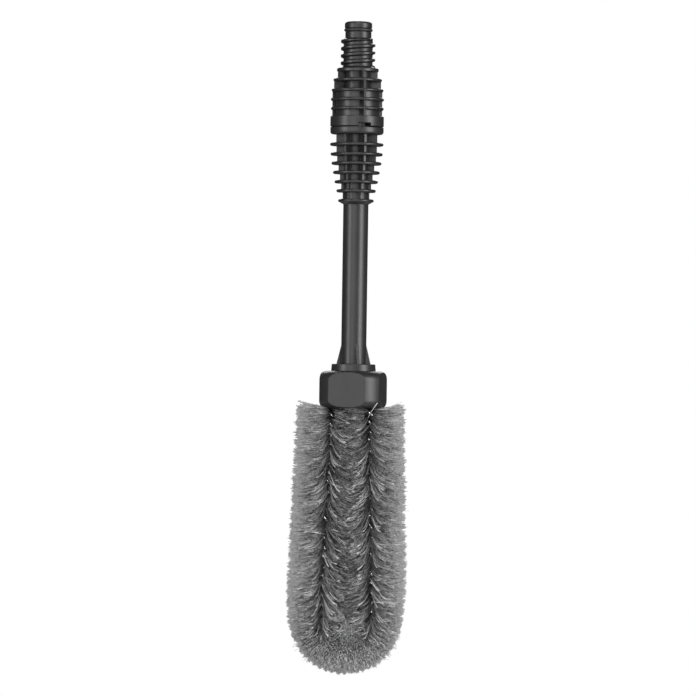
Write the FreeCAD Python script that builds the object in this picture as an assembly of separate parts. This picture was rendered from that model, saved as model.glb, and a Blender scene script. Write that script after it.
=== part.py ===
import FreeCAD, Part
import math
import os

# Pressure-washer wheel brush, in millimetres.
# +Z runs up the water way towards the inlet. The origin is on that axis, in the plane of the
# adapter sleeve's top rim. -Y is the front. Azimuths are in degrees from -Y towards +X.

Vector = FreeCAD.Vector
ORIGIN = Vector(0, 0, 0)
UP = Vector(0, 0, 1)
FRONT_TO_X = -90.0

water_bore_r = 4.0
running_gap = 0.3
o_ring_groove_side = 0.3

# Inlet spigot, which screws into the spray gun
nose_top = 29.9
nose_r = 8.8
nose_rounding = 1.7
nose_groove_top = 25.8
nose_groove_bottom = 23.2
nose_groove_r = 7.2
nose_ring_section = 2.0
land_r = 8.4
land_bottom = 19.4
inlet_root_r = 9.4
inlet_crest_r = 11.1
inlet_pitch = 4.7
inlet_crest_z = 0.7
inlet_ridge_foot = 3.3
inlet_ridge_tip = 1.3
inlet_thread_top = 19.0
foot_r = 11.2
foot_cone_height = 1.2
foot_depth = 0.6
neck_r = 8.4
neck_bottom = -21.2
neck_groove_top = -15.2
neck_groove_width = 2.2
neck_groove_r = 7.0
clip_groove_r = 7.4
clip_thickness = 1.6
clip_in_r = 7.45
clip_out_r = 10.8
clip_gap_angle = 40.0

# Adapter sleeve: an open cage above, the bayonet socket below
rim_r = 13.4
rim_thickness = 2.1
rim_rounding = 0.8
foot_recess_r = 11.3
rib_thickness = 2.0
sleeve_ring_z = (-7.7, -14.3, -20.2, -26.1)
sleeve_ring_r = (15.65, 16.7, 17.1, 17.0)
boss_bottom = -18.0
boss_bore_r = 8.6
socket_wall_r = 14.2
socket_r = 12.3
band_r = 17.2
band_top = -31.0
sleeve_bottom = -37.7
upright_width = 1.4
upright_azimuths = (17.0, 107.0, 197.0, 287.0)
upright_r = (13.2, 15.6, 16.6)
relief_depth = 1.2
relief_angle = 11.6

# Bayonet and its stop
twist_travel = 21.0
bayonet_azimuths = (90.0, 270.0)
lug_half_angle = 7.0
lug_r = 13.2
lug_top = -33.0
lug_bottom = -35.6
lug_play = 0.3
slot_side_play = 1.5
lock_end_play = 0.8
stop_lug_start = 2.9
stop_lug_angle = 6.7
stop_lug_in_r = 14.4
stop_lug_out_r = 16.6
stop_lug_top = -35.9
notch_start = 2.5
notch_end = 31.2
notch_in_r = 11.8
notch_top = -35.5

# Lance: barrel, collar, finned grip, tube, flange and threaded tail in one moulding
barrel_top = -22.6
barrel_r = 12.0
barrel_groove_r = 10.3
barrel_ring_z = (-25.5, -29.7)
barrel_ring_section = 1.94
collar_r = 17.15
collar_top = -38.1
collar_bottom = -42.6
collar_rounding = 1.6
tube_r = 8.1
fin_z = (-49.1, -55.4, -61.3, -67.2, -73.2, -79.0, -85.3)
fin_r = (17.2, 16.8, 16.1, 15.1, 14.0, 12.7, 11.5)
last_fin_taper = 2.4
grip_rib_r = (13.2, 13.0, 12.5, 11.5, 10.5, 9.6, 8.6)
grip_rib_width = 1.6
grip_rib_azimuths = tuple(25.0 + 60.0 * step for step in range(6))
flange_top = -190.4
flange_bottom = -194.8
flange_top_r = 14.0
flange_bottom_r = 14.4
gusset_azimuths = tuple(16.0 + 90.0 * step for step in range(4))
gusset_top = -178.0
gusset_r = 11.3
gusset_width = 1.8

# Screw joint between the lance's tail and the brush hub
tail_bottom = -206.1
tail_root_r = 11.8
tail_crest_r = 13.0
tail_pitch = 3.0
tail_ridge_foot = 1.7
tail_ridge_tip = 0.8
tail_thread_start = -204.5
tail_thread_turns = 2.6
thread_play = 0.3

# Spray nozzle in the end of the tail
nozzle_top = -199.2
nozzle_bottom = -205.8
nozzle_r = 6.4
nozzle_seat_r = 6.5
nozzle_groove_top = -201.8
nozzle_groove_width = 1.8
nozzle_groove_r = 5.2
nozzle_orifice_r = 0.8

# Head washer
washer_in_r = 9.4
washer_out_r = 11.9
washer_top = -206.15
washer_bottom = -207.6

# Brush hub
hub_top = -194.9
hub_bottom = -218.4
hub_r = 23.0
hub_flat = 19.7
hub_flat_azimuth = -12.3
hub_top_rounding = 6.2
hub_bottom_rounding = 5.0
ledge_z = -207.65
web_bottom = -210.5
web_hole_r = 9.0
plate_recess_r = 17.6
plate_recess_top = -214.0
chamber_r = 17.55
chamber_half_width = 7.5

# Anchor plate, its screws and the ferrules on the wire ends
plate_r = 17.4
plate_bottom = -216.5
jet_hole_r = 5.0
screw_r = 1.5
screw_y = 12.5
screw_tip = -208.8
screw_head_r = 2.8
screw_head_height = 1.6
screw_slot_width = 0.8
screw_slot_depth = 0.8
ferrule_bore_r = 2.8
ferrule_r = 3.5
ferrule_head_r = 3.8
ferrule_head_height = 3.0
ferrule_bottom = -218.2

# Twisted-in-wire loop. In its own frame the loop is symmetric about x = 0, with z = 0 in the
# plane of the hub's bottom face; it then leans a little and stands off the axis.
stem_half_gap = 12.2
bend_r = 16.4
bend_depth = 133.5
loop_offset = -1.5
loop_lean = 0.39
wire_r = 1.2
wire_half_spacing = 1.25
wire_end_height = 6.4
bristle_r = 21.6
bristle_top_gap = 0.5
bristle_hollow_r = 2.8


def ring(r_in, r_out, z_low, z_high):
    """Plain ring about the Z axis."""
    outer = Part.makeCylinder(r_out, z_high - z_low, Vector(0, 0, z_low))
    return outer.cut(Part.makeCylinder(r_in, z_high - z_low, Vector(0, 0, z_low)))


def disc(radius, z_low, z_high):
    """Plain disc about the Z axis."""
    return Part.makeCylinder(radius, z_high - z_low, Vector(0, 0, z_low))


def turned(outline):
    """Solid of revolution about Z, from an outline of (radius, z) corners."""
    corners = [Vector(r, 0, z) for r, z in outline]
    face = Part.Face(Part.makePolygon(corners + corners[:1]))
    return face.revolve(ORIGIN, UP, 360)


def o_ring(section, centre_r, z):
    """Rubber ring of round section."""
    return Part.makeTorus(centre_r, section / 2, Vector(0, 0, z))


def sector(r_in, r_out, z_low, z_high, start, end):
    """The part of a ring that lies between two azimuths."""
    corners = [(r_in, z_low), (r_out, z_low), (r_out, z_high), (r_in, z_high), (r_in, z_low)]
    face = Part.Face(Part.makePolygon([Vector(r, 0, z) for r, z in corners]))
    piece = face.revolve(ORIGIN, UP, end - start)
    piece.rotate(ORIGIN, UP, start + FRONT_TO_X)
    return piece


def fin(r_in, r_out, z_mid, thickness):
    """Ring-shaped fin whose outer edge is fully rounded."""
    half = thickness / 2
    low_in = Vector(r_in, 0, z_mid - half)
    low_out = Vector(r_out - half, 0, z_mid - half)
    tip = Vector(r_out, 0, z_mid)
    high_out = Vector(r_out - half, 0, z_mid + half)
    high_in = Vector(r_in, 0, z_mid + half)
    edges = [
        Part.LineSegment(low_in, low_out).toShape(),
        Part.Arc(low_out, tip, high_out).toShape(),
        Part.LineSegment(high_out, high_in).toShape(),
        Part.LineSegment(high_in, low_in).toShape(),
    ]
    return Part.Face(Part.Wire(edges)).revolve(ORIGIN, UP, 360)


def radial_rib(azimuth, width, r_in, r_out, z_low, z_high):
    """Upright rib that stands out from the axis at one azimuth."""
    corner = Vector(r_in, -width / 2, z_low)
    rib = Part.makeBox(r_out - r_in, width, z_high - z_low, corner)
    rib.rotate(ORIGIN, UP, azimuth + FRONT_TO_X)
    return rib


def round_circles(shape, radius, places):
    """Fillets the circular edges that have the given (radius, z) places."""
    picked = []
    for edge in shape.Edges:
        curve = edge.Curve
        if not isinstance(curve, Part.Circle):
            continue
        if any(abs(curve.Radius - r) < 0.01 and abs(curve.Center.z - z) < 0.01 for r, z in places):
            picked.append(edge)
    return shape.makeFillet(radius, picked)


def thread_ridge(r_foot, r_tip, foot, tip, pitch, z_start, turns):
    """Right-hand helical ridge of trapezium section, which starts at +X, centred on z_start."""
    helix = Part.makeHelix(pitch, pitch * turns, r_foot)
    helix.translate(Vector(0, 0, z_start))
    half_foot = foot / 2
    half_tip = tip / 2
    corners = [(r_foot, -half_foot), (r_tip, -half_tip), (r_tip, half_tip), (r_foot, half_foot)]
    points = [Vector(r, 0, z_start + dz) for r, dz in corners]
    section = Part.makePolygon(points + points[:1])
    return Part.Wire(helix.Edges).makePipeShell([section], True, True)


def fused(pieces):
    """One solid from pieces that overlap or share faces."""
    return pieces[0].multiFuse(pieces[1:]).removeSplitter()


# ---- adapter ----


def inlet_thread():
    """Coarse gun thread that fades out at its top and stops on the foot."""
    sink = 0.3
    ridge = thread_ridge(
        inlet_root_r - sink,
        inlet_crest_r,
        inlet_ridge_foot,
        inlet_ridge_tip,
        inlet_pitch,
        inlet_crest_z,
        3.9,
    )
    clear_r = inlet_crest_r + 0.2
    envelope = turned(
        [
            (0, 0.1),
            (clear_r, 0.1),
            (clear_r, inlet_thread_top - 0.9),
            (inlet_root_r, inlet_thread_top),
            (0, inlet_thread_top),
        ]
    )
    return ridge.common(envelope)


def inlet_spigot():
    neck_groove_bottom = neck_groove_top - neck_groove_width
    clip_groove_bottom = boss_bottom - clip_thickness - 0.1
    body = turned(
        [
            (water_bore_r, nose_top),
            (nose_r, nose_top),
            (nose_r, nose_groove_top),
            (nose_groove_r, nose_groove_top),
            (nose_groove_r, nose_groove_bottom),
            (land_r, nose_groove_bottom),
            (land_r, land_bottom),
            (inlet_root_r, land_bottom - 0.4),
            (inlet_root_r, foot_cone_height),
            (foot_r, 0.0),
            (foot_r, -foot_depth),
            (neck_r, -foot_depth),
            (neck_r, neck_groove_top),
            (neck_groove_r, neck_groove_top),
            (neck_groove_r, neck_groove_bottom),
            (neck_r, neck_groove_bottom),
            (neck_r, boss_bottom),
            (clip_groove_r, boss_bottom),
            (clip_groove_r, clip_groove_bottom),
            (neck_r, clip_groove_bottom),
            (neck_r, neck_bottom),
            (water_bore_r, neck_bottom),
        ]
    )
    body = round_circles(body, nose_rounding, [(nose_r, nose_top)])
    body = round_circles(body, 0.6, [(water_bore_r, nose_top)])
    return fused([body, inlet_thread()])


def spigot_o_ring():
    middle = nose_groove_bottom + nose_ring_section / 2 + o_ring_groove_side
    return o_ring(nose_ring_section, nose_groove_r + nose_ring_section / 2, middle)


def neck_o_ring():
    section = boss_bore_r - neck_groove_r
    middle = neck_groove_top - neck_groove_width / 2
    return o_ring(section, neck_groove_r + section / 2, middle)


def retaining_clip():
    """Open spring clip that holds the spigot's neck in the sleeve."""
    half_gap = clip_gap_angle / 2
    low = boss_bottom - clip_thickness
    return sector(clip_in_r, clip_out_r, low, boss_bottom, 180 + half_gap, 540 - half_gap)


def cage_rows():
    """(low z, high z) of the five open rows between the sleeve's rings."""
    half = rib_thickness / 2
    highs = [-rim_thickness] + [z - half for z in sleeve_ring_z]
    lows = [z + half for z in sleeve_ring_z] + [band_top]
    return list(zip(lows, highs))


def bayonet_slots():
    """Entry slots and the short grooves that the lance's lugs turn in."""
    cuts = []
    reach = lug_r + running_gap
    for azimuth in bayonet_azimuths:
        lock_start = azimuth - lug_half_angle - lock_end_play
        entry_start = azimuth + twist_travel - lug_half_angle - slot_side_play
        entry_end = azimuth + twist_travel + lug_half_angle + slot_side_play
        low = lug_bottom - lug_play
        high = lug_top + lug_play
        cuts.append(sector(socket_r - 0.5, reach, low, high, lock_start, entry_end))
        cuts.append(sector(socket_r - 0.5, reach, sleeve_bottom - 1, high, entry_start, entry_end))
    return cuts


def relief_grooves():
    """Deep end of each pocket in the three lower rows, beside its upright."""
    cuts = []
    floor_r = socket_wall_r - relief_depth
    for low, high in cage_rows()[2:]:
        for azimuth in upright_azimuths:
            start = azimuth - relief_angle
            cuts.append(sector(floor_r, socket_wall_r + 0.5, low, high, start, azimuth))
    return cuts


def adapter_sleeve():
    half = rib_thickness / 2
    rim = ring(boss_bore_r, rim_r, -rim_thickness, 0).cut(disc(foot_recess_r, -foot_depth, 0))
    rim = round_circles(rim, rim_rounding, [(rim_r, 0.0)])
    boss_top = sleeve_ring_z[1] + half
    boss = ring(boss_bore_r, socket_r, boss_bottom, boss_top)
    wall = ring(socket_r, socket_wall_r, band_top, sleeve_ring_z[1]).cut(relief_grooves())
    band = ring(socket_r, band_r, sleeve_bottom, band_top)
    band = round_circles(band, 0.5, [(band_r, sleeve_bottom), (band_r, band_top)])
    pieces = [rim, boss, wall, band]
    ring_in_r = (boss_bore_r, boss_bore_r + 1, socket_r + 1, socket_r + 1)
    for r_in, r_out, z in zip(ring_in_r, sleeve_ring_r, sleeve_ring_z):
        pieces.append(fin(r_in, r_out, z, rib_thickness))
    upright_ends = (-rim_thickness / 2,) + sleeve_ring_z[:2] + (band_top - 1,)
    upright_in_r = (boss_bore_r + 0.2, boss_bore_r + 0.2, socket_r + 0.3)
    for high, low, r_in, r_out in zip(upright_ends, upright_ends[1:], upright_in_r, upright_r):
        for azimuth in upright_azimuths:
            pieces.append(radial_rib(azimuth, upright_width, r_in, r_out, low, high))
    notch = sector(notch_in_r, band_r + 1, sleeve_bottom - 1, notch_top, notch_start, notch_end)
    return fused(pieces).cut(bayonet_slots() + [notch])


# ---- lance ----


def barrel():
    """Bayonet barrel with its two seal grooves and two lugs."""
    body = ring(water_bore_r, barrel_r, collar_top, barrel_top)
    body = body.makeChamfer(0.8, [e for e in body.Edges if e.BoundBox.ZMin > barrel_top - 0.1])
    half_width = barrel_ring_section / 2 + o_ring_groove_side
    for z in barrel_ring_z:
        body = body.cut(ring(barrel_groove_r, barrel_r + 1, z - half_width, z + half_width))
    lugs = []
    for azimuth in bayonet_azimuths:
        start = azimuth - lug_half_angle
        lugs.append(sector(barrel_r - 1, lug_r, lug_bottom, lug_top, start, azimuth + lug_half_angle))
    return fused([body] + lugs)


def collar():
    body = ring(water_bore_r, collar_r, collar_bottom, collar_top)
    body = round_circles(body, collar_rounding, [(collar_r, collar_bottom)])
    body = round_circles(body, 0.4, [(collar_r, collar_top)])
    end = stop_lug_start + stop_lug_angle
    stop = sector(stop_lug_in_r, stop_lug_out_r, collar_top - 1, stop_lug_top, stop_lug_start, end)
    return fused([body, stop])


def last_fin():
    """The lowest fin, thicker than the others, with a tapered underside."""
    half = rib_thickness / 2
    z = fin_z[-1]
    top = fin(tube_r - 1, fin_r[-1], z, rib_thickness)
    taper = turned(
        [
            (tube_r - 1, z),
            (fin_r[-1] - half, z),
            (fin_r[-1] - half, z - half),
            (tube_r, z - last_fin_taper),
            (tube_r - 1, z - last_fin_taper),
        ]
    )
    return fused([top, taper])


def grip():
    """Cooling-fin style grip: round fins with short upright ribs between them."""
    half = rib_thickness / 2
    pieces = [fin(tube_r - 1, r, z, rib_thickness) for r, z in zip(fin_r[:-1], fin_z[:-1])]
    pieces.append(last_fin())
    highs = [collar_bottom] + [z - half for z in fin_z[:-1]]
    lows = [z + half for z in fin_z]
    for low, high, r_out in zip(lows, highs, grip_rib_r):
        for azimuth in grip_rib_azimuths:
            rib = radial_rib(azimuth, grip_rib_width, tube_r - 1, r_out, low - 0.2, high + 0.2)
            pieces.append(rib)
    return pieces


def gusset(azimuth):
    """Thin triangular web between the tube and the flange."""
    corners = [
        Vector(tube_r - 1, -gusset_width / 2, gusset_top),
        Vector(tube_r, -gusset_width / 2, gusset_top),
        Vector(gusset_r, -gusset_width / 2, flange_top - 0.5),
        Vector(tube_r - 1, -gusset_width / 2, flange_top - 0.5),
    ]
    web = Part.Face(Part.makePolygon(corners + corners[:1])).extrude(Vector(0, gusset_width, 0))
    web.rotate(ORIGIN, UP, azimuth + FRONT_TO_X)
    return web


def tail_thread(play, turns_below, turns_above):
    """Tail thread ridge. The hub's groove is the same ridge with play all round, made longer."""
    ridge = thread_ridge(
        tail_root_r - 0.3,
        tail_crest_r + play,
        tail_ridge_foot + 2 * play,
        tail_ridge_tip + 2 * play,
        tail_pitch,
        tail_thread_start - turns_below * tail_pitch,
        tail_thread_turns + turns_below + turns_above,
    )
    ridge.rotate(ORIGIN, UP, -360 * turns_below)
    return ridge


def tail():
    """Flange and threaded tail, bored for the water way and the nozzle."""
    body = turned(
        [
            (water_bore_r, flange_top),
            (flange_top_r, flange_top),
            (flange_bottom_r, flange_bottom),
            (tail_root_r, flange_bottom),
            (tail_root_r, tail_bottom),
            (nozzle_seat_r, tail_bottom),
            (nozzle_seat_r, nozzle_top),
            (water_bore_r, nozzle_top),
        ]
    )
    body = round_circles(body, 0.5, [(flange_top_r, flange_top)])
    return fused([body, tail_thread(0, 0, 0)])


def lance_tube():
    shaft = ring(water_bore_r, tube_r, flange_top, collar_bottom)
    pieces = [shaft, barrel(), collar(), tail()] + grip()
    pieces += [gusset(azimuth) for azimuth in gusset_azimuths]
    return fused(pieces)


def barrel_o_ring(z):
    return o_ring(barrel_ring_section, barrel_groove_r + barrel_ring_section / 2, z)


def spray_nozzle():
    groove_bottom = nozzle_groove_top - nozzle_groove_width
    return turned(
        [
            (water_bore_r, nozzle_top),
            (nozzle_r, nozzle_top),
            (nozzle_r, nozzle_groove_top),
            (nozzle_groove_r, nozzle_groove_top),
            (nozzle_groove_r, groove_bottom),
            (nozzle_r, groove_bottom),
            (nozzle_r, nozzle_bottom),
            (nozzle_orifice_r + 1.5, nozzle_bottom),
            (nozzle_orifice_r, nozzle_bottom + 1.0),
            (nozzle_orifice_r, nozzle_top - 3.5),
        ]
    )


def nozzle_o_ring():
    section = nozzle_seat_r - nozzle_groove_r
    middle = nozzle_groove_top - nozzle_groove_width / 2
    return o_ring(section, nozzle_groove_r + section / 2, middle)


def head_washer():
    return ring(washer_in_r, washer_out_r, washer_bottom, washer_top)


# ---- brush head ----


def hub_blank():
    """Round hub with rounded ends and four wrench flats."""
    blank = disc(hub_r, hub_bottom, hub_top)
    blank = round_circles(blank, hub_top_rounding, [(hub_r, hub_top)])
    blank = round_circles(blank, hub_bottom_rounding, [(hub_r, hub_bottom)])
    height = hub_top - hub_bottom
    block = Part.makeBox(
        2 * hub_flat, 2 * hub_flat, height, Vector(-hub_flat, -hub_flat, hub_bottom)
    )
    block.rotate(ORIGIN, UP, hub_flat_azimuth)
    return blank.common(block)


def hub_chamber():
    """Water chamber above the anchor plate: a round recess with solid shoulders front and back."""
    recess = disc(chamber_r, plate_recess_top, web_bottom)
    slot = Part.makeBox(
        2 * chamber_r,
        2 * chamber_half_width,
        web_bottom - plate_recess_top,
        Vector(-chamber_r, -chamber_half_width, plate_recess_top),
    )
    return recess.common(slot)


def brush_hub():
    bore_r = tail_root_r + thread_play
    lead_in = turned(
        [
            (0, hub_top),
            (tail_crest_r + thread_play + 0.4, hub_top),
            (bore_r, hub_top - 1.6),
            (0, hub_top - 1.6),
        ]
    )
    cuts = [
        disc(bore_r, ledge_z, hub_top),
        lead_in,
        tail_thread(thread_play, 0.1, 1.2),
        disc(web_hole_r, web_bottom, ledge_z),
        hub_chamber(),
        disc(plate_recess_r, hub_bottom, plate_recess_top),
    ]
    for side in (-1, 1):
        hole_height = plate_recess_top - screw_tip
        hole = Part.makeCylinder(screw_r, -hole_height, Vector(0, side * screw_y, plate_recess_top))
        cuts.append(hole)
    return hub_blank().cut(cuts)


def anchor_plate():
    plate = disc(plate_r, plate_bottom, plate_recess_top)
    thickness = plate_recess_top - plate_bottom
    cuts = [disc(jet_hole_r, plate_bottom, plate_recess_top)]
    for x in ferrule_places():
        cuts.append(Part.makeCylinder(ferrule_r, thickness, Vector(x, 0, plate_bottom)))
    for side in (-1, 1):
        cuts.append(Part.makeCylinder(screw_r, thickness, Vector(0, side * screw_y, plate_bottom)))
    return plate.cut(cuts)


def anchor_screw(side):
    """Slotted pan-head screw through the anchor plate."""
    shank = Part.makeCylinder(screw_r, screw_tip - plate_bottom, Vector(0, 0, plate_bottom))
    head_low = plate_bottom - screw_head_height
    head = Part.makeCylinder(screw_head_r, screw_head_height, Vector(0, 0, head_low))
    head = round_circles(head, 0.6, [(screw_head_r, head_low)])
    slot = Part.makeBox(
        2 * screw_head_r,
        screw_slot_width,
        screw_slot_depth,
        Vector(-screw_head_r, -screw_slot_width / 2, head_low),
    )
    screw = shank.fuse(head).cut(slot)
    screw.translate(Vector(0, side * screw_y, 0))
    return screw


def anchor_screws():
    return Part.makeCompound([anchor_screw(-1), anchor_screw(1)])


def ferrule(x):
    """Crimped ferrule: its head sits on the anchor plate, its shank goes through."""
    shank = disc(ferrule_r, ferrule_bottom, plate_recess_top)
    head = disc(ferrule_head_r, plate_recess_top, plate_recess_top + ferrule_head_height)
    bore = disc(ferrule_bore_r, ferrule_bottom, plate_recess_top + ferrule_head_height - 0.6)
    piece = shank.fuse(head).cut(bore)
    piece.translate(Vector(x, 0, 0))
    return piece


# ---- wire loop and bristles ----


def stem_tilt():
    """Angle, in radians, between a stem and the loop's middle plane."""
    reach = math.hypot(stem_half_gap, bend_depth)
    return math.asin(bend_r / reach) - math.atan2(stem_half_gap, bend_depth)


def in_place(shape):
    """Moves a shape from the loop's own frame to the part's frame."""
    placed = shape.copy()
    placed.rotate(ORIGIN, Vector(0, 1, 0), loop_lean)
    placed.translate(Vector(loop_offset, 0, hub_bottom))
    return placed


def stem_point(side, height):
    """Point on a stem's axis, in the loop's own frame."""
    return Vector(side * (stem_half_gap - height * math.tan(stem_tilt())), 0, height)


def ferrule_places():
    """X of the two ferrules, where the stems pass the anchor plate."""
    middle = (plate_bottom + plate_recess_top) / 2 - hub_bottom
    lean = math.radians(loop_lean)
    places = []
    for side in (-1, 1):
        point = stem_point(side, middle)
        places.append(loop_offset + point.x * math.cos(lean) + point.z * math.sin(lean))
    return places


def loop_path(y, top):
    """U-shaped path: a stem, the tangent bend and the other stem."""
    tilt = stem_tilt()
    shift = Vector(0, y, 0)
    centre = Vector(0, 0, -bend_depth)
    left = centre + Vector(-bend_r * math.cos(tilt), 0, bend_r * math.sin(tilt))
    right = centre + Vector(bend_r * math.cos(tilt), 0, bend_r * math.sin(tilt))
    bottom = centre + Vector(0, 0, -bend_r)
    edges = [
        Part.LineSegment(stem_point(-1, top) + shift, left + shift).toShape(),
        Part.Arc(left + shift, bottom + shift, right + shift).toShape(),
        Part.LineSegment(right + shift, stem_point(1, top) + shift).toShape(),
    ]
    return Part.Wire(edges)


def swept_loop(radius, y, top):
    """Round bar along the loop's path."""
    path = loop_path(y, top)
    start = stem_point(-1, top) + Vector(0, y, 0)
    along = Vector(-math.sin(stem_tilt()), 0, -math.cos(stem_tilt()))
    section = Part.Wire(Part.Circle(start, along, radius).toShape())
    return path.makePipeShell([section], True, False)


def core_wire(side):
    return in_place(swept_loop(wire_r, side * wire_half_spacing, wire_end_height))


def bristle_stem(side):
    """Outer shape of the bristles round one stem, as far as the middle plane."""
    tilt = stem_tilt()
    start = stem_point(side, 30.0)
    along = Vector(side * math.sin(tilt), 0, -math.cos(tilt))
    brush = Part.makeCylinder(bristle_r, bend_depth + 60.0, start, along)
    size = 2 * bristle_r + 20
    low = min(0, side * size)
    half_space = Part.makeBox(
        size, size, bend_depth - bristle_top_gap, Vector(low, -size / 2, -bend_depth)
    )
    return brush.common(half_space)


def bristle_bend():
    """Outer shape of the bristles round the bend."""
    circle = Part.Face(
        Part.Wire(Part.Circle(Vector(bend_r, 0, 0), UP, bristle_r).toShape())
    )
    size = 4 * bristle_r
    half = Part.makeBox(size, size, 1.0, Vector(0, -size / 2, -0.5))
    section = circle.common(half)
    bend = section.revolve(ORIGIN, Vector(0, 1, 0), 180)
    bend.translate(Vector(0, 0, -bend_depth))
    return bend


def bristles(envelope):
    hollow = swept_loop(bristle_hollow_r, 0, 0.5)
    return in_place(envelope.cut(hollow))


def nodes():
    """Every sub-part, by node name."""
    left_x, right_x = ferrule_places()
    return {
        "inlet_spigot": inlet_spigot(),
        "spigot_o_ring": spigot_o_ring(),
        "neck_o_ring": neck_o_ring(),
        "retaining_clip": retaining_clip(),
        "adapter_sleeve": adapter_sleeve(),
        "lance_tube": lance_tube(),
        "barrel_o_ring_upper": barrel_o_ring(barrel_ring_z[0]),
        "barrel_o_ring_lower": barrel_o_ring(barrel_ring_z[1]),
        "spray_nozzle": spray_nozzle(),
        "nozzle_o_ring": nozzle_o_ring(),
        "head_washer": head_washer(),
        "brush_hub": brush_hub(),
        "anchor_plate": anchor_plate(),
        "anchor_screws": anchor_screws(),
        "ferrule_left": ferrule(left_x),
        "ferrule_right": ferrule(right_x),
        "core_wire_front": core_wire(-1),
        "core_wire_back": core_wire(1),
        "bristles_left": bristles(bristle_stem(-1)),
        "bristles_right": bristles(bristle_stem(1)),
        "bristles_bend": bristles(bristle_bend()),
    }


os.makedirs("parts", exist_ok=True)
for name, shape in nodes().items():
    solids = shape.Solids
    if not shape.isValid() or not solids:
        raise ValueError(f"{name} is not a valid solid")
    shape.exportStep(f"parts/{name}.step")
    box = shape.BoundBox
    low = (round(box.XMin, 2), round(box.YMin, 2), round(box.ZMin, 2))
    high = (round(box.XMax, 2), round(box.YMax, 2), round(box.ZMax, 2))
    print(name, len(solids), "solid(s)", round(shape.Volume, 1), "mm3", low, high)
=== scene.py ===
"""Looks of a pressure-washer wheel brush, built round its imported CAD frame. Units are metres."""

import math

import bpy
import numpy as np
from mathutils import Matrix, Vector


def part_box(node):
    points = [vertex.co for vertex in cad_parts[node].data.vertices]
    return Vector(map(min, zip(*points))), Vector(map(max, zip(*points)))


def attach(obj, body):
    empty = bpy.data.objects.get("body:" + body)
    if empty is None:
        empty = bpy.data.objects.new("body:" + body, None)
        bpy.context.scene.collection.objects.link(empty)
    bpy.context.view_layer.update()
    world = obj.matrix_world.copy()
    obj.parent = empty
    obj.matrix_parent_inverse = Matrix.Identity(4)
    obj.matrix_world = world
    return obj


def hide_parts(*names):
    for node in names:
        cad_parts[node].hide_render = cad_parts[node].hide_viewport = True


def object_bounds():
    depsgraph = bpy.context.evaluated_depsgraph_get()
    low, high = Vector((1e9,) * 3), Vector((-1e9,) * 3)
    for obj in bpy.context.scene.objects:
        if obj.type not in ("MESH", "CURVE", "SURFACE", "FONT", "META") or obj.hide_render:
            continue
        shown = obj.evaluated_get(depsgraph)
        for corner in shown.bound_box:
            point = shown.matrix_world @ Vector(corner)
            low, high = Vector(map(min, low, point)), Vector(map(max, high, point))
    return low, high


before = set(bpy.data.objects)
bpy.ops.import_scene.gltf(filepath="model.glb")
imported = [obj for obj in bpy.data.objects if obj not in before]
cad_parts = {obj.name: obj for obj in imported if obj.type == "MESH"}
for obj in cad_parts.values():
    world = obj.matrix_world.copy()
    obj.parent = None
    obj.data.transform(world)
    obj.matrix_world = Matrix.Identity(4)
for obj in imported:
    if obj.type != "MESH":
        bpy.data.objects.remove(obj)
cad_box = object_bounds()

MM = 0.001
FRONT = np.array([0.0, -1.0, 0.0])
DOWN = np.array([0.0, 0.0, -1.0])

# Camera
VIEW_DISTANCE = 3.0
VIEW_WIDTH = 0.448
VIEW_LEVEL = -0.1801
VIEW_SIDE = -0.0037
VIEW_ROLL = math.radians(0.85)
SENSOR = 36.0

# Studio
WORLD_FILL = 0.07
FLOOR_RADIUS = 0.5
FLOOR_DROP = 0.08

# Twisted core wires. Their distance from the core's centre line, in wire radii, is tight in the
# ferrules and grows to open over the first stretch below the hub.
WIRE_TWIST_PITCH = 12.2 * MM
WIRE_SIDES = 14
WIRE_STEP = 0.5 * MM
WIRE_START_ANGLE = 0.4
TIGHT_TWIST = 1.05
OPEN_TWIST = 1.7
OPENING_LENGTH = 8 * MM

# Bristles: filaments grow in locks, and the locks in bands along the loop
SEED = 27
STEM_BANDS = 3
BEND_BANDS = 3
BEND_OUTWARD_SHARE = 0.6
LOCKS_PER_BAND = 2450
LOCK_SIZE = 3
LOCK_LENGTH = 0.4 * MM
LOCK_FAN = math.radians(2.0)
TWIST_SPREAD = math.radians(33)
COMB = math.radians(42)
LEAST_COMB = 0.2
COMB_AT_ROOT = 0.75
ROOT_RADIUS = 1.9 * MM
FILAMENT_RADIUS = 0.17 * MM
FILAMENT_SIDES = 3
FILAMENT_RINGS = 5

# How far the filaments reach past the CAD solids' surface, and how unevenly
OVERHANG = 0.4 * MM
LOCK_REACH_SPREAD = 0.32 * MM
REACH_SPREAD = 0.1 * MM
ROOT_SCATTER = 0.3 * MM
TIP_SCATTER = 0.12 * MM
LOCK_SCATTER_OUTSIDE = 0.35 * MM
LOCK_SCATTER_INSIDE = 1.2 * MM
TUFT_PITCH = 1.8 * MM
TUFT_DEPTH = 1.6 * MM
TUFT_GATHER = 0.6
TOP_FLARE = 3.6 * MM
FLARE_LENGTH = 5 * MM
SHOULDER_TRIM = 2.3 * MM
SHOULDER_DROP = 6 * MM
SHOULDER_LENGTH = 8 * MM
WORN_SIDE = 1.2 * MM
WORN_LENGTH = 16 * MM
BEND_TRIM = 0.9 * MM

# How far the filaments fall
LEAST_DROOP = 0.4 * MM
FRONT_DROOP = 10.0 * MM
INSIDE_DROOP = 12.0 * MM
BEND_DROOP_SHARE = 0.35
DROOP_SPREAD = 0.4
DROOP_START = 9 * MM


# ---- materials ----


def new_material(name):
    """An empty node material; returns it with its tree and shader."""
    material = bpy.data.materials.new(name)
    material.use_nodes = True
    tree = material.node_tree
    tree.nodes.clear()
    out = tree.nodes.new("ShaderNodeOutputMaterial")
    shader = tree.nodes.new("ShaderNodeBsdfPrincipled")
    tree.links.new(shader.outputs["BSDF"], out.inputs["Surface"])
    return material, tree, shader


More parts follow.
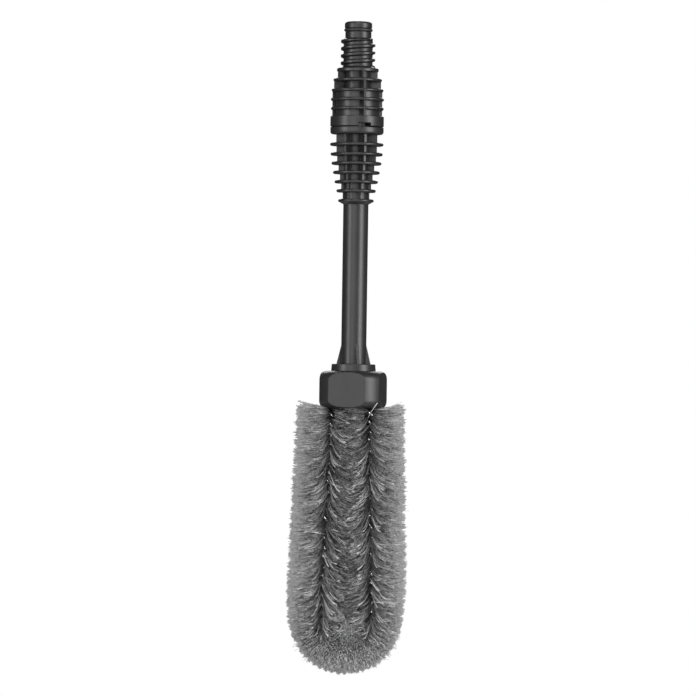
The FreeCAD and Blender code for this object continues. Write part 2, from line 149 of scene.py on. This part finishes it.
def noise(tree, scale, detail=3.0, stretch=(1, 1, 1)):
    """Noise over object coordinates, as a 0 to 1 value; scale is in features per metre."""
    place = tree.nodes.new("ShaderNodeTexCoord")
    mapping = tree.nodes.new("ShaderNodeMapping")
    mapping.inputs["Scale"].default_value = stretch
    texture = tree.nodes.new("ShaderNodeTexNoise")
    texture.inputs["Scale"].default_value = scale
    texture.inputs["Detail"].default_value = detail
    tree.links.new(place.outputs["Object"], mapping.inputs["Vector"])
    tree.links.new(mapping.outputs["Vector"], texture.inputs["Vector"])
    return texture.outputs["Fac"]


def colour_between(tree, value, dark, light, low=0.3, high=0.7):
    """Colour ramp between two grey levels or colours."""
    ramp = tree.nodes.new("ShaderNodeValToRGB")
    ramp.color_ramp.elements[0].position = low
    ramp.color_ramp.elements[1].position = high
    ramp.color_ramp.elements[0].color = (*rgb(dark), 1)
    ramp.color_ramp.elements[1].color = (*rgb(light), 1)
    tree.links.new(value, ramp.inputs["Fac"])
    return ramp.outputs["Color"]


def rgb(colour):
    """A grey level or a colour, as three numbers."""
    if isinstance(colour, (int, float)):
        return (colour, colour, colour)
    return tuple(colour)


def value_between(tree, value, low, high):
    """Maps a 0.3 to 0.7 noise value onto a range."""
    ranged = tree.nodes.new("ShaderNodeMapRange")
    ranged.inputs["From Min"].default_value = 0.3
    ranged.inputs["From Max"].default_value = 0.7
    ranged.inputs["To Min"].default_value = low
    ranged.inputs["To Max"].default_value = high
    tree.links.new(value, ranged.inputs["Value"])
    return ranged.outputs["Result"]


def bumped(tree, shader, height, distance, strength=1.0, edge=0.0):
    """Bump from a height value, over edges that look rounded by the given radius."""
    bump = tree.nodes.new("ShaderNodeBump")
    bump.inputs["Distance"].default_value = distance
    bump.inputs["Strength"].default_value = strength
    tree.links.new(height, bump.inputs["Height"])
    if edge:
        bevel = tree.nodes.new("ShaderNodeBevel")
        bevel.samples = 4
        bevel.inputs["Radius"].default_value = edge
        tree.links.new(bevel.outputs["Normal"], bump.inputs["Normal"])
    tree.links.new(bump.outputs["Normal"], shader.inputs["Normal"])


def moulded_plastic(name, dark, light, roughness=(0.36, 0.5), grain=0.03 * MM, edge=0.3 * MM):
    """Charcoal injection-moulded plastic: fine spark-eroded grain, faint flow marks, soft edges."""
    material, tree, shader = new_material(name)
    blotches = noise(tree, 90.0, 5.0, (1, 1, 0.35))
    grain_value = noise(tree, 2600.0, 2.0)
    tree.links.new(colour_between(tree, blotches, dark, light), shader.inputs["Base Color"])
    tree.links.new(value_between(tree, grain_value, *roughness), shader.inputs["Roughness"])
    bumped(tree, shader, grain_value, grain, 0.5, edge)
    shader.inputs["Specular IOR Level"].default_value = 0.5
    return material


def seal_rubber():
    """Black seal rubber with a faint bloom."""
    material, tree, shader = new_material("rubber_seal")
    bloom = noise(tree, 700.0, 4.0)
    tree.links.new(colour_between(tree, bloom, 0.008, 0.02), shader.inputs["Base Color"])
    tree.links.new(value_between(tree, bloom, 0.42, 0.62), shader.inputs["Roughness"])
    bumped(tree, shader, noise(tree, 3000.0), 0.02 * MM, 0.4)
    return material


def metal(name, dark, light, roughness, scale=900.0):
    """Drawn or turned metal with fine scratches."""
    material, tree, shader = new_material(name)
    scratches = noise(tree, scale, 6.0, (1, 1, 0.2))
    tree.links.new(colour_between(tree, scratches, dark, light), shader.inputs["Base Color"])
    tree.links.new(value_between(tree, scratches, *roughness), shader.inputs["Roughness"])
    shader.inputs["Metallic"].default_value = 1.0
    bumped(tree, shader, scratches, 0.02 * MM, 0.5)
    return material


def nylon():
    """Grey nylon filament; its shade attribute makes each filament lighter or darker, from random
    tone and from painted shade inside the fill, at the roots and at the tips.
    """
    material, tree, shader = new_material("nylon_bristle")
    shade = tree.nodes.new("ShaderNodeAttribute")
    shade.attribute_name = "shade"
    streak = noise(tree, 500.0, 3.0)
    mix = tree.nodes.new("ShaderNodeMath")
    mix.operation = "MULTIPLY_ADD"
    mix.inputs[1].default_value = 0.3
    tree.links.new(streak, mix.inputs[0])
    tree.links.new(shade.outputs["Fac"], mix.inputs[2])
    grey = colour_between(tree, mix.outputs[0], 0.03, 0.75, 0.1, 1.2)
    tree.links.new(grey, shader.inputs["Base Color"])
    tree.links.new(value_between(tree, streak, 0.3, 0.45), shader.inputs["Roughness"])
    shader.inputs["Specular IOR Level"].default_value = 0.5
    return material


def dress_cad_nodes():
    """Gives every CAD node that stays in view its finished material."""
    body_plastic = moulded_plastic("plastic_body", 0.013, 0.018, (0.34, 0.44))
    spigot_plastic = moulded_plastic("plastic_spigot", 0.010, 0.014, (0.34, 0.46))
    hub_plastic = moulded_plastic("plastic_hub", 0.013, 0.018, (0.36, 0.46), 0.05 * MM, 0.7 * MM)
    plate_plastic = moulded_plastic("plastic_plate", 0.03, 0.04, (0.45, 0.6))
    rubber = seal_rubber()
    steel = metal("steel_bright", 0.42, 0.6, (0.22, 0.38))
    brass = metal("brass_turned", (0.55, 0.38, 0.16), (0.78, 0.58, 0.3), (0.2, 0.34))
    finishes = {
        "inlet_spigot": spigot_plastic,
        "adapter_sleeve": body_plastic,
        "lance_tube": body_plastic,
        "brush_hub": hub_plastic,
        "anchor_plate": plate_plastic,
        "spray_nozzle": brass,
        "spigot_o_ring": rubber,
        "neck_o_ring": rubber,
        "barrel_o_ring_upper": rubber,
        "barrel_o_ring_lower": rubber,
        "nozzle_o_ring": rubber,
        "head_washer": rubber,
        "retaining_clip": steel,
        "anchor_screws": steel,
        "ferrule_left": steel,
        "ferrule_right": steel,
    }
    for name, material in finishes.items():
        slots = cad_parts[name].material_slots
        for index in range(len(slots)):
            slots[index].material = material


# ---- the wire loop's path ----


def box_of(name):
    """A CAD node's box, as two corners."""
    low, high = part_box(name)
    return np.array(low), np.array(high)


def bend_circle():
    """The loop's bend, read from the CAD wires: centre x, bend radius, centre z, wire radius."""
    low, high = box_of("core_wire_front")
    wire_radius = (high[1] - low[1]) / 2
    bend_radius = (high[0] - low[0]) / 2 - wire_radius
    centre_x = (high[0] + low[0]) / 2
    centre_z = low[2] + wire_radius + bend_radius
    return centre_x, bend_radius, centre_z, wire_radius


def tangent_angle(start_x, start_z, centre_x, centre_z, radius, side):
    """Angle, seen from the bend's centre, of the point where a stem meets the bend."""
    reach_x = start_x - centre_x
    reach_z = start_z - centre_z
    reach = math.hypot(reach_x, reach_z)
    return math.atan2(reach_z, reach_x) - side * math.acos(radius / reach)


def loop_path():
    """Evenly spaced points down the left stem, round the bend and up the right stem."""
    centre_x, radius, centre_z, _ = bend_circle()
    left_low, left_high = box_of("ferrule_left")
    right_low, right_high = box_of("ferrule_right")
    top = (left_low[2] + left_high[2]) / 2
    left_x = (left_low[0] + left_high[0]) / 2
    right_x = (right_low[0] + right_high[0]) / 2
    begin = tangent_angle(left_x, top, centre_x, centre_z, radius, -1)
    end = tangent_angle(right_x, top, centre_x, centre_z, radius, 1)
    turn = np.linspace(begin, end + 2 * math.pi, 400)
    bend = np.stack([centre_x + radius * np.cos(turn), 0 * turn, centre_z + radius * np.sin(turn)], 1)
    corners = np.vstack([[[left_x, 0, top]], bend, [[right_x, 0, top]]])
    lengths = np.concatenate([[0], np.cumsum(np.linalg.norm(np.diff(corners, axis=0), axis=1))])
    count = int(lengths[-1] / WIRE_STEP) + 1
    even = np.linspace(0, lengths[-1], count)
    return even, np.stack([np.interp(even, lengths, corners[:, axis]) for axis in range(3)], 1)


def along_path(distance, lengths, points):
    """Point, tangent and outward direction of the loop's path at each distance along it."""
    place = np.stack([np.interp(distance, lengths, points[:, axis]) for axis in range(3)], -1)
    slopes = np.gradient(points, lengths, axis=0)
    tangent = np.stack([np.interp(distance, lengths, slopes[:, axis]) for axis in range(3)], -1)
    tangent /= np.linalg.norm(tangent, axis=-1, keepdims=True)
    outward = np.cross(tangent, FRONT)
    return place, tangent, outward


# ---- meshes ----


def tube_faces(rings, sides):
    """Quads of a tube whose rings follow each other, with the vertices ring by ring."""
    ring, side = np.meshgrid(np.arange(rings - 1), np.arange(sides), indexing="ij")
    following = (side + 1) % sides
    a = ring * sides + side
    b = ring * sides + following
    return np.stack([a, b, b + sides, a + sides], -1).reshape(-1, 4)


def circle_of(across, normal, sides):
    """Points of a unit circle in each plane spanned by the two directions."""
    spin = np.linspace(0, 2 * math.pi, sides, endpoint=False)[None, :, None]
    return np.cos(spin) * across[:, None] + np.sin(spin) * normal[:, None]


def core_wire(name, lengths, points, phase, replaced):
    """One steel wire of the twisted pair, with flat capped ends hidden in the ferrules."""
    radius = bend_circle()[3]
    place, tangent, outward = along_path(lengths, lengths, points)
    angle = WIRE_START_ANGLE + phase + 2 * math.pi * lengths / WIRE_TWIST_PITCH
    below_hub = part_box("brush_hub")[0].z - place[:, 2]
    offset = radius * np.interp(below_hub, [0, OPENING_LENGTH], [TIGHT_TWIST, OPEN_TWIST])
    direction = np.cos(angle)[:, None] * outward + np.sin(angle)[:, None] * FRONT
    centre = place + offset[:, None] * direction
    heading = np.gradient(centre, axis=0)
    heading /= np.linalg.norm(heading, axis=1, keepdims=True)
    across = np.cross(heading, FRONT)
    across /= np.linalg.norm(across, axis=1, keepdims=True)
    normal = np.cross(across, heading)
    circle = circle_of(across, normal, WIRE_SIDES)
    vertices = (centre[:, None] + radius * circle).reshape(-1, 3)
    faces = tube_faces(len(centre), WIRE_SIDES)
    ends = np.vstack([centre[:1], centre[-1:]])
    first = len(vertices)
    vertices = np.vstack([vertices, ends])
    mesh = bpy.data.meshes.new(name)
    caps = []
    last_ring = (len(centre) - 1) * WIRE_SIDES
    for side in range(WIRE_SIDES):
        following = (side + 1) % WIRE_SIDES
        caps.append((first, following, side))
        caps.append((first + 1, last_ring + side, last_ring + following))
    mesh.from_pydata(vertices.tolist(), [], faces.tolist() + caps)
    mesh.polygons.foreach_set("use_smooth", np.full(len(mesh.polygons), True))
    wire = bpy.data.objects.new(name, mesh)
    bpy.context.scene.collection.objects.link(wire)
    wire.data.materials.append(metal("steel_" + name, 0.92, 0.98, (0.16, 0.26)))
    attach(wire, "brush_head")
    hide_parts(replaced)
    return wire


# ---- bristles ----


def droop_of(outwardness, frontness, depth):
    """How far a filament falls straight down and along the core: least at the very top."""
    room = 1 - 0.95 * np.exp(-depth / DROOP_START)
    down = LEAST_DROOP + FRONT_DROOP * np.abs(frontness) ** 3
    along = INSIDE_DROOP * np.clip(-outwardness, 0, 1)
    return down * room, along * room


def trim_at(place):
    """How much shorter the outer filaments are: at the bend's shoulders and on the worn side."""
    centre_x, _, centre_z, _ = bend_circle()
    above = place[:, 2] - centre_z
    shoulder = np.exp(-(((above + SHOULDER_DROP) / SHOULDER_LENGTH) ** 2))
    worn = np.exp(-((above / WORN_LENGTH) ** 2)) * (place[:, 0] > centre_x)
    return SHOULDER_TRIM * shoulder + WORN_SIDE * worn


def lock_angles(at, bend_share, rng):
    """Directions of each lock round the core, at the gap between the wires that it leaves and
    beyond it. On the bend more of the locks point outwards."""
    count = len(at)
    gap = WIRE_START_ANGLE + math.pi / 2 + 2 * math.pi * at / WIRE_TWIST_PITCH
    gap += rng.integers(0, 2, count) * math.pi
    angle = gap + rng.normal(0, TWIST_SPREAD * (1 + 2 * bend_share), count)
    inward = rng.uniform(0, 1, count) > (1 + bend_share * np.cos(angle)) / (1 + bend_share)
    return gap, np.where(inward, math.pi - angle, angle)


def column(values):
    """One value per filament, ready to meet the filaments' rings and axes."""
    return values[:, None, None]


def filaments(lengths, points, start, stop, bend_share, rng):
    """Centre lines (filament, ring, axis) and shades (filament, ring) on one stretch of the path."""
    locks = LOCKS_PER_BAND
    lock_at = rng.uniform(start, stop, locks)
    gap, lock_angle = lock_angles(lock_at, bend_share, rng)
    each = np.repeat(np.arange(locks), LOCK_SIZE)
    total = len(each)
    at = np.clip(lock_at[each] + rng.normal(0, LOCK_LENGTH, total), start, stop)
    angle = lock_angle[each] + rng.normal(0, LOCK_FAN, total)
    place, tangent, outward = along_path(at, lengths, points)
    outwardness = np.cos(angle)
    frontness = np.sin(angle)
    outer = np.clip(outwardness, 0, 1)
    fall_line = tangent @ DOWN
    upright = np.abs(fall_line)
    depth = np.clip(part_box("brush_hub")[0].z - place[:, 2], 0, None)
    step = np.linspace(0, 1, FILAMENT_RINGS)[None, :, None]

    comb = COMB * rng.uniform(LEAST_COMB, 1, locks)[each] * frontness**2 * upright**6
    comb *= np.sign(outwardness * frontness)
    turned = column(angle) - column(comb) * (COMB_AT_ROOT + (1 - COMB_AT_ROOT) * step)
    low, high = box_of("bristles_left")
    reach = (high[1] - low[1]) / 2 + rng.normal(OVERHANG, LOCK_REACH_SPREAD, locks)[each]
    reach += rng.normal(0, REACH_SPREAD, total)
    reach -= (trim_at(place) + BEND_TRIM * (1 - upright)) * outer
    off_tuft = (at / TUFT_PITCH) % 1 - 0.5
    reach += TUFT_DEPTH * (0.5 - 2 * np.abs(off_tuft)) * outer**2
    away = column(reach) * step
    line = place[:, None] + away * np.cos(turned) * outward[:, None]
    line += away * np.sin(turned) * FRONT
    root = np.cos(gap)[each, None] * outward + np.sin(gap)[each, None] * FRONT
    line += ROOT_RADIUS * root[:, None] * (1 - step) ** 2

    droop = droop_of(outwardness, frontness, depth)
    down, along = droop * rng.normal(1, DROOP_SPREAD, locks)[each]
    down *= BEND_DROOP_SHARE + (1 - BEND_DROOP_SHARE) * upright
    fall = 1 - (1 - step) ** 1.7
    line += DOWN * column(down) * fall
    line += tangent[:, None] * column(fall_line * along) * fall
    gather = TUFT_GATHER * TUFT_PITCH * off_tuft * outer**2
    line -= tangent[:, None] * column(gather) * step**3
    flare = TOP_FLARE * np.exp(-depth / FLARE_LENGTH) * outer
    rise = np.where(column(place[:, 0]) < 0, step**2, step**4)
    line -= DOWN * column(flare) * rise
    line += ROOT_SCATTER * rng.normal(0, 1, (total, 1, 3))
    scatter = LOCK_SCATTER_OUTSIDE + (LOCK_SCATTER_INSIDE - LOCK_SCATTER_OUTSIDE) * (1 - outer)
    stray = rng.normal(0, 1, (locks, 3))[each] * scatter[:, None]
    stray += rng.normal(0, TIP_SCATTER, (total, 3))
    line += stray[:, None] * step**1.5

    # Painted shade: filaments that do not point outwards lie deep in the fill and are painted darker,
    # with a wider random tone.
    inner = (1 - outer) ** 2 * np.maximum(upright**4, np.clip(-outwardness, 0, 1))
    return line, tone_and_painted_shade(inner, upright, each, rng)


def tone_and_painted_shade(inner, upright, each, rng):
    """Shade (filament, ring): lighter outside and on the bend, uneven inside, with painted shade that
    darkens the inside of the fill, the roots and the tips.
    """
    # Painted shade: darker deeper in the fill; random tone per lock and per filament comes on top.
    tone = 0.82 - 0.26 * upright - 0.62 * inner
    tone += (0.04 + 0.32 * inner) * rng.exponential(1, LOCKS_PER_BAND)[each]
    tone += 0.05 * rng.normal(0, 1, len(each))
    along = np.linspace(0, 1, FILAMENT_RINGS)
    # Painted shade along each filament: darker at the root inside the fill and darker at the tip.
    painted_root_and_tip_shade = np.interp(along, [0, 0.25, 0.7, 0.9, 1], [0.75, 0.9, 1, 1, 0.45])
    return np.clip(tone[:, None] * painted_root_and_tip_shade, 0, 1.2)


def stray_filaments():
    """A few light filaments that stand out of the fill, as centre lines and shades."""
    low, _ = box_of("brush_hub")
    base = low[2]
    ends = [
        ((9.0, -8.0, -8.0), (11.5, -21.2, -2.0), (15.6, -21.6, 3.4)),
        ((14.0, -14.0, -124.0), (21.5, -19.5, -124.6), (30.5, -17.5, -124.4)),
        ((16.0, -14.0, -86.5), (22.0, -18.5, -88.0), (31.5, -15.5, -87.0)),
    ]
    corners = np.array(ends) * MM + np.array([0, 0, base])
    step = np.linspace(0, 1, FILAMENT_RINGS)[None, :, None]
    start, middle, end = (corners[:, index, None] for index in range(3))
    line = start * (1 - step) ** 2 + 2 * middle * step * (1 - step) + end * step**2
    return line, np.full(line.shape[:2], 1.0)


def filament_uv(total, rings, sides):
    """UVs that give every filament a cell of its own, in the order of its quads and end caps."""
    ring, side = np.meshgrid(np.arange(rings - 1), np.arange(sides), indexing="ij")
    across = np.stack([side, side + 1, side + 1, side], -1).reshape(-1, 4) / sides
    along = np.stack([ring, ring, ring + 1, ring + 1], -1).reshape(-1, 4) / (rings - 1)
    quad = np.stack([across, along], -1)
    corner = np.array([[0.0, 0.0], [1.0, 0.0], [0.5, 0.05]])
    cap = np.stack([corner, [0, 1] + corner * [1, -1]])
    columns = math.ceil(math.sqrt(total))
    cell = np.stack([np.arange(total) % columns, np.arange(total) // columns], -1)
    quads = cell[:, None, None] + 0.06 + 0.88 * quad[None]
    caps = cell[:, None, None] + 0.06 + 0.88 * cap[None]
    return np.concatenate([quads.reshape(-1, 2), caps.reshape(-1, 2)]) / columns


def bristle_mesh(name, line, shade):
    """One mesh of closed three-sided filaments along their centre lines."""
    total, rings, _ = line.shape
    sides = FILAMENT_SIDES
    direction = line[:, -1] - line[:, 0]
    direction /= np.linalg.norm(direction, axis=1, keepdims=True)
    helper = np.where(np.abs(direction[:, 2:3]) < 0.8, [[0.0, 0.0, 1.0]], [[1.0, 0.0, 0.0]])
    across = np.cross(direction, helper)
    across /= np.linalg.norm(across, axis=1, keepdims=True)
    normal = np.cross(across, direction)
    circle = circle_of(across, normal, sides)
    vertices = (line[:, :, None] + FILAMENT_RADIUS * circle[:, None]).reshape(-1, 3)
    per = rings * sides
    first = np.arange(total)[:, None, None] * per
    quads = (tube_faces(rings, sides)[None] + first).reshape(-1, 4)
    end = np.arange(sides)
    caps = (np.stack([end[::-1], end + per - sides])[None] + first).reshape(-1, 3)
    corner_counts = np.concatenate([np.full(len(quads), 4), np.full(len(caps), 3)])
    corners = np.concatenate([quads.ravel(), caps.ravel()])
    mesh = bpy.data.meshes.new(name)
    mesh.vertices.add(len(vertices))
    mesh.vertices.foreach_set("co", vertices.ravel())
    mesh.loops.add(len(corners))
    mesh.loops.foreach_set("vertex_index", corners)
    mesh.polygons.add(len(corner_counts))
    mesh.polygons.foreach_set("loop_start", np.concatenate([[0], np.cumsum(corner_counts)[:-1]]))
    mesh.polygons.foreach_set("use_smooth", np.full(len(corner_counts), True))
    mesh.update(calc_edges=True)
    shades_out = mesh.attributes.new("shade", "FLOAT", "POINT").data
    shades_out.foreach_set("value", np.repeat(shade.ravel(), sides))
    cells = filament_uv(total, rings, sides)
    mesh.uv_layers.new(name="OFBake").uv.foreach_set("vector", cells.ravel())
    piece = bpy.data.objects.new(name, mesh)
    bpy.context.scene.collection.objects.link(piece)
    return piece


def band_plan(lengths, points):
    """(start, stop, bend share, CAD node) of each band: three per stem and three on the bend."""
    _, radius, centre_z, _ = bend_circle()
    on_bend = lengths[points[:, 2] < centre_z]
    hub_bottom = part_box("brush_hub")[0].z
    in_fill = lengths[points[:, 2] < hub_bottom]
    plan = []
    stretches = (
        (in_fill[0], on_bend[0], STEM_BANDS, 0.0, "bristles_left"),
        (on_bend[0], on_bend[-1], BEND_BANDS, BEND_OUTWARD_SHARE, "bristles_bend"),
        (on_bend[-1], in_fill[-1], STEM_BANDS, 0.0, "bristles_right"),
    )
    for start, stop, bands, share, node in stretches:
        edges = np.linspace(start, stop, bands + 1)
        plan += [(low, high, share, node) for low, high in zip(edges, edges[1:])]
    return plan


def build_bristles(lengths, points):
    """The whole fill, in bands along the loop so that each mesh stays a workable size."""
    rng = np.random.default_rng(SEED)
    material = nylon()
    plan = band_plan(lengths, points)
    for index, (start, stop, share, node) in enumerate(plan):
        line, shade = filaments(lengths, points, start, stop, share, rng)
        if index == len(plan) - 1:
            strays = stray_filaments()
            line = np.concatenate([line, strays[0]])
            shade = np.concatenate([shade, strays[1]])
        piece = bristle_mesh(f"bristle_band_{index + 1}", line, shade)
        piece.data.materials.append(material)
        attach(piece, "brush_head")
        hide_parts(node)


# ---- studio ----


def aim(thing, target):
    """Points a light or camera at a target."""
    away = thing.location - Vector(target)
    thing.rotation_mode = "QUATERNION"
    thing.rotation_quaternion = away.to_track_quat("Z", "Y")


def softbox(name, azimuth, height, distance, width, tall, power):
    """Soft rectangular light: azimuth in degrees from the front towards +X, height over the
    brush's middle, distance and sizes in metres, power in watts."""
    data = bpy.data.lights.new(name, "AREA")
    data.shape = "RECTANGLE"
    data.size = width
    data.size_y = tall
    data.energy = power
    light = bpy.data.objects.new(name, data)
    turn = math.radians(azimuth)
    light.location = (distance * math.sin(turn), -distance * math.cos(turn), VIEW_LEVEL + height)
    bpy.context.scene.collection.objects.link(light)
    aim(light, (0, 0, VIEW_LEVEL))


def studio():
    """Lights for dark plastic: two side bands, a dim broad front, a small one for the wires'
    glints, and fill. The world is white to the camera only."""
    softbox("softbox_left", -55, 0.3, 1.6, 0.45, 1.6, 18)
    softbox("softbox_right", 57, 0.3, 1.6, 0.7, 1.6, 31)
    softbox("softbox_front", -18, 0.1, 3.2, 1.4, 1.6, 21)
    softbox("glint_light", 3, 0.25, 3.1, 0.3, 0.3, 4)
    softbox("softbox_above", 0, 1.3, 1.6, 1.0, 0.5, 18)
    softbox("softbox_behind", 180, 0.9, 1.8, 1.2, 0.6, 12)
    world = bpy.data.worlds.new("studio")
    bpy.context.scene.world = world
    world.use_nodes = True
    tree = world.node_tree
    tree.nodes.clear()
    out = tree.nodes.new("ShaderNodeOutputWorld")
    mix = tree.nodes.new("ShaderNodeMixShader")
    path = tree.nodes.new("ShaderNodeLightPath")
    fill = tree.nodes.new("ShaderNodeBackground")
    white = tree.nodes.new("ShaderNodeBackground")
    fill.inputs["Color"].default_value = (1, 1, 1, 1)
    fill.inputs["Strength"].default_value = WORLD_FILL
    white.inputs["Color"].default_value = (1, 1, 1, 1)
    white.inputs["Strength"].default_value = 1.0
    tree.links.new(path.outputs["Is Camera Ray"], mix.inputs["Fac"])
    tree.links.new(fill.outputs["Background"], mix.inputs[1])
    tree.links.new(white.outputs["Background"], mix.inputs[2])
    tree.links.new(mix.outputs["Shader"], out.inputs["Surface"])


def pale_floor():
    """Round pale floor, well below the hanging brush."""
    bpy.ops.mesh.primitive_circle_add(vertices=96, radius=FLOOR_RADIUS, fill_type="NGON")
    floor = bpy.context.object
    floor.name = "floor"
    floor.location = (0, 0, cad_box[0].z - FLOOR_DROP)
    material, tree, shader = new_material("pale_floor")
    tree.links.new(colour_between(tree, noise(tree, 12.0), 0.78, 0.82), shader.inputs["Base Color"])
    shader.inputs["Roughness"].default_value = 0.7
    floor.data.materials.append(material)


def photo_camera():
    """Level camera, far off, rolled by the lean of the brush in its picture."""
    data = bpy.data.cameras.new("camera")
    data.sensor_width = SENSOR
    data.lens = SENSOR * VIEW_DISTANCE / VIEW_WIDTH
    data.clip_end = 20
    camera = bpy.data.objects.new("camera", data)
    camera.location = (VIEW_SIDE, -VIEW_DISTANCE, VIEW_LEVEL)
    camera.rotation_euler = (math.pi / 2, -VIEW_ROLL, 0)
    bpy.context.scene.collection.objects.link(camera)
    bpy.context.scene.camera = camera


photo_camera()
studio()
pale_floor()
bpy.context.scene.view_settings.view_transform = "Standard"

dress_cad_nodes()
path_lengths, path_points = loop_path()
core_wire("core_wire_twist_a", path_lengths, path_points, 0.0, "core_wire_front")
core_wire("core_wire_twist_b", path_lengths, path_points, math.pi, "core_wire_back")
build_bristles(path_lengths, path_points)
